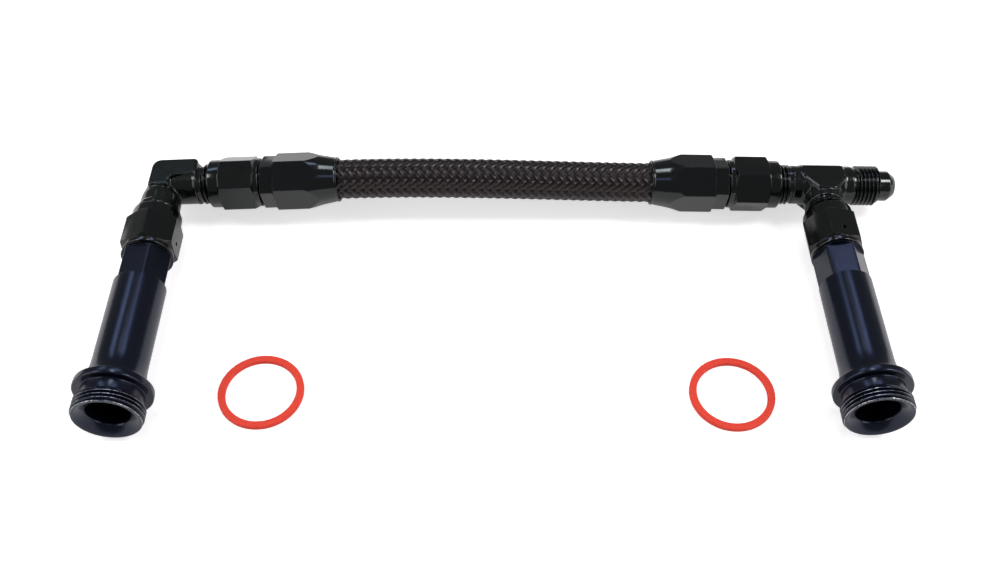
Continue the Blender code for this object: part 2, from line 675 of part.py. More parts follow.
def hose_layer(name, inner, outer, route, sides, parts, mat):
    """Tube along the route: rings bridged side by side, outside, ends and bore."""
    bm = bmesh.new()
    loops = {inner: [], outer: []}
    for i, point in enumerate(route):
        ahead = route[min(i + 1, len(route) - 1)]
        behind = route[max(i - 1, 0)]
        place = frame(point, ahead - behind, UP)
        for radius in (inner, outer):
            circle = bmesh.ops.create_circle(bm, cap_ends=False, segments=sides, radius=radius, matrix=place)
            loops[radius].append(circle["verts"])
    for radius in (inner, outer):
        for first, second in zip(loops[radius], loops[radius][1:]):
            for k in range(sides):
                bm.faces.new((first[k], first[(k + 1) % sides], second[(k + 1) % sides], second[k]))
    for end in (0, -1):
        near, far = loops[inner][end], loops[outer][end]
        for k in range(sides):
            bm.faces.new((near[k], near[(k + 1) % sides], far[(k + 1) % sides], far[k]))
    bmesh.ops.recalc_face_normals(bm, faces=bm.faces)
    mesh = bpy.data.meshes.new(name)
    bm.to_mesh(mesh)
    bm.free()
    mesh.shade_smooth()
    mesh.set_sharp_from_angle(angle=SHARP_ANGLE)
    return add_object(name, mesh, Matrix.Identity(4), parts, mat)


def gasket(name, side, offset, parts, mat):
    """Flat sealing washer for an inlet, lying on the bench."""
    inward, back = offset
    origin = Vector((side * (INLET_SPACING / 2.0 - inward), back, 0.0))
    profile = ring(GASKET_HOLE_RADIUS, GASKET_RADIUS, 0.0, GASKET_THICKNESS)
    return turned(name, profile, Matrix.Translation(origin), parts, mat, steps=GASKET_STEPS)


def stand_on_origin(objects):
    """Moves the finished line so that its box stands centred on the origin."""
    bpy.context.view_layer.update()
    depsgraph = bpy.context.evaluated_depsgraph_get()
    corners = []
    for obj in objects:
        mesh = obj.evaluated_get(depsgraph).to_mesh()
        corners += [obj.matrix_world @ vertex.co for vertex in mesh.vertices]
        obj.evaluated_get(depsgraph).to_mesh_clear()
    low = Vector([min(point[i] for point in corners) for i in range(3)])
    high = Vector([max(point[i] for point in corners) for i in range(3)])
    shift = Matrix.Translation((-(low.x + high.x) / 2.0, -(low.y + high.y) / 2.0, -low.z))
    for obj in list(bpy.data.objects):
        obj.matrix_world = shift @ obj.matrix_world


def build():
    clear_scene()
    parts = collection("dual_feed_fuel_line")
    cutters = collection("cutters")
    black = material("black_anodised_aluminium", (0.012, 0.014, 0.018), 0.28, 1.0)
    steel = material("wire_steel", (0.35, 0.35, 0.36), 0.35, 1.0)
    nylon = material("braided_nylon", (0.03, 0.024, 0.024), 0.6, 0.0)
    rubber = material("fuel_rubber", (0.02, 0.02, 0.02), 0.7, 0.0)
    red = material("red_gasket_fibre", (0.85, 0.08, 0.05), 0.5, 0.0)

    inlet_adapter("inlet_adapter_left", -1, ELBOW_LEG_REACH, LEFT_ADAPTER_TURN, parts, cutters, black)
    inlet_adapter("inlet_adapter_right", 1, TEE_LEG_REACH, RIGHT_ADAPTER_TURN, parts, cutters, black)
    elbow("elbow_body", parts, cutters, black)
    tee("tee_body", parts, cutters, black)

    nuts = (
        ("leg_nut_left", leg_nut_frame(-1, ELBOW_LEG_REACH), -LEFT_LEG_NUT_TURN, 4),
        ("leg_nut_right", leg_nut_frame(1, TEE_LEG_REACH), -RIGHT_LEG_NUT_TURN, 0),
        ("hose_nut_left", run_frame(-1, ELBOW_RUN_REACH), LEFT_HOSE_NUT_TURN, 3),
        ("hose_nut_right", run_frame(1, TEE_RUN_REACH), mirrored_turn(RIGHT_HOSE_NUT_TURN, 1), 3),
    )
    for name, place, turn, hole_face in nuts:
        swivel_nut(name, place, turn, hole_face, parts, cutters, black)
        wire_ring(name.replace("nut", "nut_wire"), place, parts, steel)

    ends = (
        ("left", -1, ELBOW_RUN_REACH, LEFT_NIPPLE_TURN, LEFT_SOCKET_TURN),
        ("right", 1, TEE_RUN_REACH, RIGHT_NIPPLE_TURN, RIGHT_SOCKET_TURN),
    )
    for name, side, reach, nipple_turn, socket_turn in ends:
        place = run_frame(side, reach)
        hose_nipple("hose_nipple_" + name, place, mirrored_turn(nipple_turn, side), parts, cutters, black)
        hose_socket("hose_socket_" + name, place, mirrored_turn(socket_turn, side), parts, cutters, black)

    route = hose_route(socket_mouth(-1, ELBOW_RUN_REACH) - HOSE_INSERTION,
                       socket_mouth(1, TEE_RUN_REACH) - HOSE_INSERTION)
    hose_layer("hose_liner", LINER_BORE_RADIUS, LINER_RADIUS, route, LINER_SIDES, parts, rubber)
    hose_layer("hose_braid", LINER_RADIUS + GAP, HOSE_RADIUS, route, BRAID_SIDES, parts, nylon)

    gasket("inlet_gasket_left", -1, LEFT_GASKET, parts, red)
    gasket("inlet_gasket_right", 1, RIGHT_GASKET, parts, red)
    stand_on_origin(list(parts.objects))


build()
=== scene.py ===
"""Dual feed fuel line, dressed for its picture: every fitting, the braided hose and two gaskets."""
import math

import bmesh
import bpy
from mathutils import Matrix, Vector


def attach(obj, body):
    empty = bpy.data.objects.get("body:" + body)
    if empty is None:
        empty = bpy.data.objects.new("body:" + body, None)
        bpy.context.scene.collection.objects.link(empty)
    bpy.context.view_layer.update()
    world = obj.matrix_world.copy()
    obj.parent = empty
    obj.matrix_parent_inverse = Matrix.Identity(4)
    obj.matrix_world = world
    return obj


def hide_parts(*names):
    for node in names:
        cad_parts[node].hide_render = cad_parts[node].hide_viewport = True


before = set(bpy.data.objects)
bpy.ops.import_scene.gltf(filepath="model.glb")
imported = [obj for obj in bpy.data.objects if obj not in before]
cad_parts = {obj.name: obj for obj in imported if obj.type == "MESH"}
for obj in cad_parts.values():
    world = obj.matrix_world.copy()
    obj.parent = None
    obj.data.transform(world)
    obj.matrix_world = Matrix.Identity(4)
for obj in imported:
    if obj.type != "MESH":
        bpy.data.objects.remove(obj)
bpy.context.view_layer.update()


# Camera: it stands in front of the line and well above it, and looks down on the hose and both
# inlets, a little turned and rolled as a camera held by hand is.
CAMERA_PLACE = Vector((-0.00860, -0.22934, 0.29554))
CAMERA_PITCH = math.radians(51.598)
CAMERA_YAW = math.radians(0.901)
CAMERA_ROLL = math.radians(0.6)
CAMERA_LENS = 39.038
forward = Vector((
    math.sin(CAMERA_YAW) * math.cos(CAMERA_PITCH),
    math.cos(CAMERA_YAW) * math.cos(CAMERA_PITCH),
    -math.sin(CAMERA_PITCH),
))
level_right = forward.cross(Vector((0.0, 0.0, 1.0))).normalized()
level_up = level_right.cross(forward)
camera_right = level_right * math.cos(CAMERA_ROLL) + level_up * math.sin(CAMERA_ROLL)
camera_up = level_up * math.cos(CAMERA_ROLL) - level_right * math.sin(CAMERA_ROLL)
camera_data = bpy.data.cameras.new("camera")
camera_data.sensor_width = 36.0
camera_data.lens = CAMERA_LENS
camera_data.clip_start = 0.01
camera = bpy.data.objects.new("camera", camera_data)
camera.matrix_world = (
    Matrix.Translation(CAMERA_PLACE)
    @ Matrix((camera_right, camera_up, -forward)).transposed().to_4x4()
)
bpy.context.scene.collection.objects.link(camera)
bpy.context.scene.camera = camera


# Inlet adapters: one piece of bar each, turned to a threaded mouth, a thin flange and a flared
# barrel, milled to six wrench flats at the swivel end, bored through and anodised black. A
# standard nut holds each one on the elbow or the tee.
MM = 0.001
AXIS_HEIGHT = 12.4
INLET_FACE = -54.2558
LEFT_AXIS = -125.1318
RIGHT_AXIS = 110.8682
WELD_DISTANCE = 0.002
BACK = Vector((0.0, 1.0, 0.0))
UP = Vector((0.0, 0.0, 1.0))


def stand(origin, direction):
    """Places a piece drawn in millimetres: its Z runs along direction and its X is its top."""
    z = direction.normalized()
    x = (UP - z * UP.dot(z)).normalized()
    y = z.cross(x)
    turn = Matrix((x, y, z)).transposed().to_4x4()
    return Matrix.Translation(origin * MM) @ turn @ Matrix.Scale(MM, 4)


def turned(profile, steps=96, closed=True, segments=4):
    """A bmesh of (radius, place, rounding) corners turned about Z; a rounding of 0 stays sharp."""
    bm = bmesh.new()
    corners = [bm.verts.new((radius, 0.0, place)) for radius, place, rounding in profile]
    for pair in zip(corners, corners[1:]):
        bm.edges.new(pair)
    if closed:
        bm.edges.new((corners[-1], corners[0]))
    for corner, (radius, place, rounding) in zip(corners, profile):
        if rounding:
            bmesh.ops.bevel(bm, geom=[corner], offset=rounding, segments=segments, profile=0.5,
                            affect="VERTICES", material=-1)
    bmesh.ops.spin(bm, geom=list(bm.verts) + list(bm.edges), cent=(0.0, 0.0, 0.0), axis=(0.0, 0.0, 1.0),
                   angle=math.tau, steps=steps, use_merge=True, use_duplicate=False)
    bmesh.ops.remove_doubles(bm, verts=bm.verts, dist=WELD_DISTANCE)
    bmesh.ops.recalc_face_normals(bm, faces=bm.faces)
    return bm


def hexagon(flats, start, end, turn, rounding):
    """A six-sided bar from start to end, one corner turned from the top, its long edges rounded."""
    bm = bmesh.new()
    radius = flats / math.sqrt(3.0)
    length = end - start
    bmesh.ops.create_cone(bm, cap_ends=True, segments=6, radius1=radius, radius2=radius, depth=length)
    # The small share of y settles which corner counts when two are equally near the top.
    corner = max((v for v in bm.verts if v.co.z > 0.0), key=lambda v: v.co.x + 0.1 * v.co.y)
    first = math.atan2(corner.co.y, corner.co.x)
    bmesh.ops.rotate(bm, verts=bm.verts, matrix=Matrix.Rotation(math.radians(turn) - first, 3, "Z"))
    bmesh.ops.translate(bm, verts=bm.verts, vec=(0.0, 0.0, (start + end) / 2.0))
    long_edges = [e for e in bm.edges if abs(e.verts[0].co.z - e.verts[1].co.z) > length / 2.0]
    bmesh.ops.bevel(bm, geom=long_edges, offset=rounding, segments=3, profile=0.5,
                    affect="EDGES", material=-1)
    return bm


def piece_from(bm, name, place, finish):
    """Makes an object of a bmesh: its place goes into the mesh, and the object stays at the origin."""
    bmesh.ops.transform(bm, matrix=place, verts=bm.verts)
    mesh = bpy.data.meshes.new(name)
    bm.to_mesh(mesh)
    bm.free()
    mesh.materials.append(finish)
    piece = bpy.data.objects.new(name, mesh)
    bpy.context.scene.collection.objects.link(piece)
    return piece


def join_by(operation, piece, tool):
    """Applies a Boolean to a piece and takes the tool out of the scene."""
    change = piece.modifiers.new("change", "BOOLEAN")
    change.operation = operation
    change.object = tool
    change.solver = "EXACT"
    bpy.context.view_layer.update()
    evaluated = piece.evaluated_get(bpy.context.evaluated_depsgraph_get())
    mesh = bpy.data.meshes.new_from_object(evaluated)
    piece.modifiers.clear()
    piece.data = mesh
    bpy.data.objects.remove(tool, do_unlink=True)


def smooth(piece, angle=28.0):
    """Shades a piece smooth, with its true edges left sharp."""
    piece.data.shade_smooth()
    piece.data.set_sharp_from_angle(angle=math.radians(angle))


# A thread's half widths are shares of its pitch, and its foot is sunk into the core.
THREAD_STEPS = 64
THREAD_SINK = 0.05
ROOT_HALF_WIDTH = 0.44
CREST_HALF_WIDTH = 0.07
BACK_LEAD = 0.6


def add_thread(bm, crest, root, pitch, start, end, front, lead=0.45):
    """Winds a V thread on a core; its crest runs out over lead at the end that front names (1 or -1)."""
    half = pitch * ROOT_HALF_WIDTH
    flat = pitch * CREST_HALF_WIDTH
    foot = root - THREAD_SINK
    section = [(foot, -half), (crest, -flat), (crest, flat), (foot, half)]
    corners = [bm.verts.new((radius, 0.0, start + place)) for radius, place in section]
    edges = [bm.edges.new((corners[i], corners[(i + 1) % 4])) for i in range(4)]
    turns = (end - start) / pitch
    count = int(THREAD_STEPS * turns)
    before = set(bm.verts) - set(corners)
    bmesh.ops.spin(bm, geom=corners + edges, cent=(0.0, 0.0, 0.0), axis=(0.0, 0.0, 1.0),
                   dvec=(0.0, 0.0, (end - start) / count), angle=math.tau * turns, steps=count,
                   use_duplicate=False)
    wound = [v for v in bm.verts if v not in before]
    ends = [e for e in bm.edges if e.is_boundary and all(v not in before for v in e.verts)]
    bmesh.ops.holes_fill(bm, edges=ends, sides=4)
    low, high = min(start, end), max(start, end)
    for vert in wound:
        vert.co.z = max(low, min(high, vert.co.z))
        radius = math.hypot(vert.co.x, vert.co.y)
        to_front = high - vert.co.z if front > 0 else vert.co.z - low
        to_back = vert.co.z - low if front > 0 else high - vert.co.z
        allowed = min(foot + max(to_front, 0.0) * (crest - root) / lead,
                      foot + max(to_back, 0.0) * (crest - root) / (lead * BACK_LEAD))
        if radius > allowed:
            vert.co.x *= allowed / radius
            vert.co.y *= allowed / radius
    faces = [f for f in bm.faces if all(v not in before for v in f.verts)]
    bmesh.ops.recalc_face_normals(bm, faces=faces)


def machining_marks():
    """Node group: fine tool marks round one axis and a faint cloudiness, as height and roughness."""
    group = bpy.data.node_groups.new("machining_marks", "ShaderNodeTree")
    for name, kind in (("Axis Scale", "NodeSocketVector"), ("Base Roughness", "NodeSocketFloat")):
        group.interface.new_socket(name=name, in_out="INPUT", socket_type=kind)
    for name in ("Height", "Roughness"):
        group.interface.new_socket(name=name, in_out="OUTPUT", socket_type="NodeSocketFloat")
    nodes, links = group.nodes, group.links
    entry = nodes.new("NodeGroupInput")
    leave = nodes.new("NodeGroupOutput")
    coordinates = nodes.new("ShaderNodeTexCoord")
    stretch = nodes.new("ShaderNodeVectorMath")
    stretch.operation = "MULTIPLY"
    links.new(coordinates.outputs["Object"], stretch.inputs[0])
    links.new(entry.outputs["Axis Scale"], stretch.inputs[1])
    marks = nodes.new("ShaderNodeTexNoise")
    marks.inputs["Scale"].default_value = 1.0
    marks.inputs["Detail"].default_value = 3.0
    links.new(stretch.outputs[0], marks.inputs["Vector"])
    links.new(marks.outputs["Fac"], leave.inputs["Height"])
    clouds = nodes.new("ShaderNodeTexNoise")
    clouds.inputs["Scale"].default_value = 220.0
    clouds.inputs["Detail"].default_value = 4.0
    links.new(coordinates.outputs["Object"], clouds.inputs["Vector"])
    vary = nodes.new("ShaderNodeMath")
    vary.operation = "MULTIPLY_ADD"
    links.new(clouds.outputs["Fac"], vary.inputs[0])
    vary.inputs[1].default_value = 0.10
    links.new(entry.outputs["Base Roughness"], vary.inputs[2])
    links.new(vary.outputs[0], leave.inputs["Roughness"])
    return group


MACHINING_MARKS = machining_marks()


def black_anodised(name, colour, sheen, axis_scale, roughness, mark_depth):
    """Black anodised aluminium: a dark, glassy oxide skin with rounded, bright-catching edges."""
    finish = bpy.data.materials.new(name)
    finish.use_nodes = True
    nodes, links = finish.node_tree.nodes, finish.node_tree.links
    shader = nodes["Principled BSDF"]
    shader.inputs["Base Color"].default_value = (*colour, 1.0)
    shader.inputs["IOR"].default_value = 1.5
    shader.inputs["Specular Tint"].default_value = (*sheen, 1.0)
    marks = nodes.new("ShaderNodeGroup")
    marks.node_tree = MACHINING_MARKS
    marks.inputs["Axis Scale"].default_value = axis_scale
    marks.inputs["Base Roughness"].default_value = roughness
    edge = nodes.new("ShaderNodeBevel")
    edge.samples = 8
    edge.inputs["Radius"].default_value = 0.00018
    bump = nodes.new("ShaderNodeBump")
    bump.inputs["Strength"].default_value = mark_depth
    bump.inputs["Distance"].default_value = 0.00002
    links.new(edge.outputs["Normal"], bump.inputs["Normal"])
    links.new(marks.outputs["Height"], bump.inputs["Height"])
    links.new(marks.outputs["Roughness"], shader.inputs["Roughness"])
    links.new(bump.outputs["Normal"], shader.inputs["Normal"])
    return finish


MARKS_ON_LEG = (60.0, 6000.0, 60.0)
MARKS_ON_RUN = (6000.0, 60.0, 60.0)
ADAPTER_FINISH = black_anodised(
    "anodised_turned_adapter", (0.0022, 0.0028, 0.0070), (0.62, 0.70, 1.0), MARKS_ON_LEG, 0.18, 0.04)
LEG_FINISH = black_anodised(
    "anodised_turned_leg", (0.0018, 0.0030, 0.0026), (0.95, 0.95, 1.0), MARKS_ON_LEG, 0.08, 0.04)
RUN_FINISH = black_anodised(
    "anodised_turned_run", (0.0018, 0.0030, 0.0030), (0.95, 0.98, 1.0), MARKS_ON_RUN, 0.08, 0.04)


# Bare metal, where the black is rubbed through on the rim and the thread crests.
RIM_METAL = bpy.data.materials.new("rubbed_rim")
RIM_METAL.use_nodes = True
nodes, links = RIM_METAL.node_tree.nodes, RIM_METAL.node_tree.links
rim_shader = nodes["Principled BSDF"]
rim_shader.inputs["Metallic"].default_value = 1.0
rim_shader.inputs["Roughness"].default_value = 0.3
rim_coordinates = nodes.new("ShaderNodeTexCoord")
rim_noise = nodes.new("ShaderNodeTexNoise")
rim_noise.inputs["Scale"].default_value = 1500.0
rim_colour = nodes.new("ShaderNodeValToRGB")
rim_colour.color_ramp.elements[0].position = 0.36
rim_colour.color_ramp.elements[0].color = (0.05, 0.05, 0.06, 1.0)
rim_colour.color_ramp.elements[1].position = 0.66
rim_colour.color_ramp.elements[1].color = (0.45, 0.47, 0.50, 1.0)
links.new(rim_coordinates.outputs["Object"], rim_noise.inputs["Vector"])
links.new(rim_noise.outputs["Fac"], rim_colour.inputs["Fac"])
links.new(rim_colour.outputs["Color"], rim_shader.inputs["Base Color"])


PASSAGE = 3.1
MOUTH_BORE = 6.5
THREAD_ROOT = 10.3
THREAD_CREST = 11.1
THREAD_PITCH = 1.27
RIM_RADIUS = 10.7
RELIEF_RADIUS = 10.0
FLANGE_RADIUS = 12.4
FLANGE_FRONT = 9.1
FLANGE_BACK = 11.7
FLARE_RADIUS = 11.0
FLARE_LENGTH = 8.5
FLARE_STEPS = 12
BARREL_RADIUS = 8.7
BARREL_END = 64.5
TAIL_RADIUS = 5.8
TAIL_END = 75.8
WRENCH_FLATS = 15.1
WRENCH_FRONT = 51.5
RUBBED_DEPTH = 0.28
RUBBED_RIM_RADIUS = 10.5
RUBBED_CREST_RADIUS = 10.95


def inlet_adapter(side_name, axis_place, turn):
    """One adapter with its thread; turn is that of the wrench flats, in degrees."""
    place = stand(Vector((axis_place, INLET_FACE, AXIS_HEIGHT)), BACK)
    flare = []
    for i in range(1, FLARE_STEPS):
        angle = math.pi / 2.0 * i / FLARE_STEPS
        flare.append((BARREL_RADIUS + (FLARE_RADIUS - BARREL_RADIUS) * (1.0 - math.cos(angle)),
                      FLANGE_BACK + FLARE_LENGTH * (1.0 - math.sin(angle)), 0.0))
    profile = [
        (PASSAGE, TAIL_END, 0.0), (TAIL_RADIUS, TAIL_END, 0.0), (TAIL_RADIUS, BARREL_END, 0.0),
        (BARREL_RADIUS, BARREL_END, 0.4), (BARREL_RADIUS, FLANGE_BACK + FLARE_LENGTH, 0.0),
        *flare,
        (FLARE_RADIUS, FLANGE_BACK, 0.0), (FLANGE_RADIUS, FLANGE_BACK, 0.5),
        (FLANGE_RADIUS, FLANGE_FRONT, 0.5), (RELIEF_RADIUS, FLANGE_FRONT, 0.25), (RELIEF_RADIUS, 5.6, 0.3),
        (THREAD_ROOT, 5.0, 0.0), (THREAD_ROOT, 0.5, 0.0), (RIM_RADIUS, 0.5, 0.0), (RIM_RADIUS, 0.0, 0.3),
        (10.0, 0.0, 0.25), (8.2, 0.85, 1.5), (MOUTH_BORE, 2.4, 0.6), (MOUTH_BORE, 24.0, 0.0),
        (PASSAGE, 29.9, 0.0),
    ]
    bm = turned(profile)
    for face in bm.faces:
        middle = face.calc_center_median()
        if middle.z < RUBBED_DEPTH and math.hypot(middle.x, middle.y) > RUBBED_RIM_RADIUS:
            face.material_index = 1
    adapter = piece_from(bm, "adapter_" + side_name, place, ADAPTER_FINISH)
    adapter.data.materials.append(RIM_METAL)
    waste_ring = turned([
        (5.5, 64.1, 0.0), (11.0, 64.1, 0.0), (11.0, WRENCH_FRONT, 0.0), (5.5, WRENCH_FRONT, 0.0),
    ])
    waste = piece_from(waste_ring, "waste", place, ADAPTER_FINISH)
    flats = piece_from(hexagon(WRENCH_FLATS, 40.0, 80.0, turn, 0.25), "flats", place, ADAPTER_FINISH)
    join_by("DIFFERENCE", waste, flats)
    join_by("DIFFERENCE", adapter, waste)
    smooth(adapter)
    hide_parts("inlet_adapter_" + side_name)
    bm = bmesh.new()
    add_thread(bm, THREAD_CREST, THREAD_ROOT, THREAD_PITCH, 0.1, 5.3, -1, lead=0.7)
    for face in bm.faces:
        if all(math.hypot(vert.co.x, vert.co.y) > RUBBED_CREST_RADIUS for vert in face.verts):
            face.material_index = 1
    thread = piece_from(bm, "adapter_thread_" + side_name, place, ADAPTER_FINISH)
    thread.data.materials.append(RIM_METAL)
    smooth(thread)
    for piece in (adapter, thread):
        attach(piece, "root")


inlet_adapter("left", LEFT_AXIS, 21.0)
inlet_adapter("right", RIGHT_AXIS, 20.0)


# Swivel nuts: four alike, turned from 11/16 inch hexagon bar with a round collar at the thread
# mouth and a thin lip at the back. A wire, fed in through the small hole, holds each on its seat.
LEG_LENGTH = 98.5
RUN_LINE = INLET_FACE + LEG_LENGTH
ELBOW_CORNER = Vector((LEFT_AXIS, RUN_LINE, AXIS_HEIGHT))
TEE_CORNER = Vector((RIGHT_AXIS, RUN_LINE, AXIS_HEIGHT))
ELBOW_LEAN = math.radians(2.9)
TEE_LEAN = math.radians(1.3)
ELBOW_RUN = Vector((math.cos(ELBOW_LEAN), 0.0, math.sin(ELBOW_LEAN)))
TEE_RUN = Vector((-math.cos(TEE_LEAN), 0.0, math.sin(TEE_LEAN)))
ELBOW_NUT_MOUTH = 17.1
TEE_NUT_MOUTH = 15.7
LEG_NUT_MOUTH = 15.2


NUT_FLATS = 17.46
NUT_CORNERS = 10.08
NUT_LENGTH = 18.2
NUT_BORE = 7.45
NUT_BACK_BORE = 6.1
WIRE_HOLE = 0.8
WIRE_HOLE_OUT = 9.2
WIRE_HOLE_PLACE = 12.6


def swivel_nut(name, node, place, turn, hole_turn, finish):
    """One nut, its mouth at the start of its place; the turns of flats and wire hole are in degrees."""
    profile = [
        (NUT_BACK_BORE, NUT_LENGTH, 0.2), (8.6, NUT_LENGTH, 0.45), (8.6, 16.5, 0.0),
        (NUT_CORNERS, 15.65, 0.0), (NUT_CORNERS, 4.81, 0.0), (8.5, 3.9, 0.0), (8.5, 0.0, 0.45),
        (NUT_BORE, 0.0, 0.25), (NUT_BORE, 10.7, 0.0), (NUT_BACK_BORE, 10.7, 0.0),
    ]
    nut = piece_from(turned(profile), name, place, finish)
    bar = piece_from(hexagon(NUT_FLATS, -1.0, 19.0, turn, 0.3), "hexagon_bar", place, finish)
    join_by("INTERSECT", nut, bar)
    hole = bmesh.new()
    bmesh.ops.create_cone(hole, cap_ends=True, segments=24, radius1=WIRE_HOLE, radius2=WIRE_HOLE, depth=6.0)
    bmesh.ops.translate(hole, verts=hole.verts, vec=(0.0, 0.0, WIRE_HOLE_OUT))
    bmesh.ops.rotate(hole, verts=hole.verts, matrix=Matrix.Rotation(math.radians(90.0), 3, "Y"))
    bmesh.ops.rotate(hole, verts=hole.verts, matrix=Matrix.Rotation(math.radians(hole_turn), 3, "Z"))
    bmesh.ops.translate(hole, verts=hole.verts, vec=(0.0, 0.0, WIRE_HOLE_PLACE))
    join_by("DIFFERENCE", nut, piece_from(hole, "wire_hole", place, finish))
    smooth(nut)
    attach(nut, "root")
    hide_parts(node)


LEG_DOWN = -BACK
left_leg_nut = stand(ELBOW_CORNER + LEG_DOWN * LEG_NUT_MOUTH, LEG_DOWN)
right_leg_nut = stand(TEE_CORNER + LEG_DOWN * LEG_NUT_MOUTH, LEG_DOWN)
left_hose_end = stand(ELBOW_CORNER + ELBOW_RUN * ELBOW_NUT_MOUTH, ELBOW_RUN)
right_hose_end = stand(TEE_CORNER + TEE_RUN * TEE_NUT_MOUTH, TEE_RUN)
swivel_nut("nut_leg_left", "leg_nut_left", left_leg_nut, 0.0, 270.0, LEG_FINISH)
swivel_nut("nut_leg_right", "leg_nut_right", right_leg_nut, -40.0, -10.0, LEG_FINISH)
swivel_nut("nut_hose_left", "hose_nut_left", left_hose_end, -6.0, 204.0, RUN_FINISH)
swivel_nut("nut_hose_right", "hose_nut_right", right_hose_end, -26.0, 184.0, RUN_FINISH)


def grained(name, colour, metallic, grain):
    """A plain finish whose roughness varies with a fine grain."""
    finish = bpy.data.materials.new(name)
    finish.use_nodes = True
    nodes, links = finish.node_tree.nodes, finish.node_tree.links
    shader = nodes["Principled BSDF"]
    shader.inputs["Base Color"].default_value = (*colour, 1.0)
    shader.inputs["Metallic"].default_value = metallic
    noise = nodes.new("ShaderNodeTexNoise")
    noise.inputs["Scale"].default_value = grain
    coordinates = nodes.new("ShaderNodeTexCoord")
    links.new(coordinates.outputs["Object"], noise.inputs["Vector"])
    links.new(noise.outputs["Fac"], shader.inputs["Roughness"])
    return finish


wire_finish = grained("drawn_wire", (0.30, 0.30, 0.31), 1.0, 900.0)
for node in ("leg_nut_wire_left", "leg_nut_wire_right", "hose_nut_wire_left", "hose_nut_wire_right"):
    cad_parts[node].data.materials.clear()
    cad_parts[node].data.materials.append(wire_finish)


# Elbow: a forging with a flat pad on each side of its bend and a round collar at each end. Both
# ends are turned and threaded to the 37 degree flare pattern, and the nuts hide most of them.
def add_moved(bm, part, matrix):
    """Adds a copy of one bmesh to another, moved by a matrix."""
    mesh = bpy.data.meshes.new("copy")
    bmesh.ops.transform(part, matrix=matrix, verts=part.verts)
    part.to_mesh(mesh)
    part.free()
    bm.from_mesh(mesh)
    bpy.data.meshes.remove(mesh)


def outline_block(points, height, corner_rounding, edge_rounding):
    """A flat block from an outline, its named corners and its outer edges rounded."""
    bm = bmesh.new()
    corners = [bm.verts.new((x, y, -height)) for x, y in points]
    face = bm.faces.new(corners)
    raised = bmesh.ops.extrude_face_region(bm, geom=[face])
    lifted = [item for item in raised["geom"] if isinstance(item, bmesh.types.BMVert)]
    bmesh.ops.translate(bm, verts=lifted, vec=(0.0, 0.0, 2.0 * height))
    bmesh.ops.recalc_face_normals(bm, faces=bm.faces)
    for (x, y), rounding in zip(points, corner_rounding):
        if rounding:
            spot = Vector((x, y))
            upright = [e for e in bm.edges if all((v.co.xy - spot).length < 0.01 for v in e.verts)]
            bmesh.ops.bevel(bm, geom=upright, offset=rounding, segments=8, profile=0.5, affect="EDGES",
                            material=-1)
    rim = [e for e in bm.edges if e.verts[0].co.z * e.verts[1].co.z > 0.0 and len(e.link_faces) == 2
           and e.calc_face_angle() > 1.0]
    bmesh.ops.bevel(bm, geom=rim, offset=edge_rounding, segments=5, profile=0.5,
                    affect="EDGES", material=-1)
    return bm


FORGING_VOXEL = 0.2


def forged(bm, name, place, finish):
    """Fuses the shapes of a forging into one skin and softens its inner corners."""
    body = piece_from(bm, name, Matrix.Identity(4), finish)
    fuse = body.modifiers.new("fuse", "REMESH")
    fuse.mode = "VOXEL"
    fuse.voxel_size = FORGING_VOXEL
    soften = body.modifiers.new("soften", "SMOOTH")
    soften.factor = 0.5
    soften.iterations = 6
    bpy.context.view_layer.update()
    mesh = bpy.data.meshes.new_from_object(body.evaluated_get(bpy.context.evaluated_depsgraph_get()))
    mesh.transform(place)
    body.modifiers.clear()
    body.data = mesh
    body.data.shade_smooth()
    return body


def forging_place(corner, run):
    """X along the run, Y toward the inlet and Z across the pads, drawn in millimetres."""
    z = run.cross(LEG_DOWN)
    turn = Matrix((run, LEG_DOWN, z)).transposed().to_4x4()
    return Matrix.Translation(corner * MM) @ turn @ Matrix.Scale(MM, 4)


ALONG_RUN = Matrix.Rotation(math.radians(90.0), 4, "Y")
AGAINST_RUN = Matrix.Rotation(math.radians(-90.0), 4, "Y")
ALONG_LEG = Matrix.Rotation(math.radians(-90.0), 4, "X")
FORGED_GRAIN = (900.0, 900.0, 900.0)
FORGED_FINISH = black_anodised(
    "anodised_forged", (0.0018, 0.0030, 0.0024), (0.95, 1.0, 0.98), FORGED_GRAIN, 0.12, 0.05)
FLARE_THREAD_ROOT = 6.3
FLARE_THREAD_CREST = 7.14
FLARE_THREAD_PITCH = 1.411
FLARE_NOSE = 5.4
FLARE_CONE = 2.39


def flare_end(name, place, start, thread_start, thread_end, nose_end, finish):
    """A male flare end: bored core with a helical thread, a plain nose and a 37 degree cone."""
    tip = nose_end + FLARE_CONE
    bm = turned([
        (PASSAGE, start, 0.0), (6.4, start, 0.0), (6.4, thread_start - 0.6, 0.0),
        (FLARE_THREAD_ROOT, thread_start - 0.3, 0.0), (FLARE_THREAD_ROOT, thread_end, 0.25),
        (FLARE_NOSE, thread_end, 0.1), (FLARE_NOSE, nose_end, 0.25), (3.6, tip, 0.3), (PASSAGE, tip, 0.2),
    ], steps=72)
    add_thread(bm, FLARE_THREAD_CREST, FLARE_THREAD_ROOT, FLARE_THREAD_PITCH, thread_start - 0.4,
               thread_end, 1)
    end = piece_from(bm, name, place, finish)
    smooth(end)
    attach(end, "root")


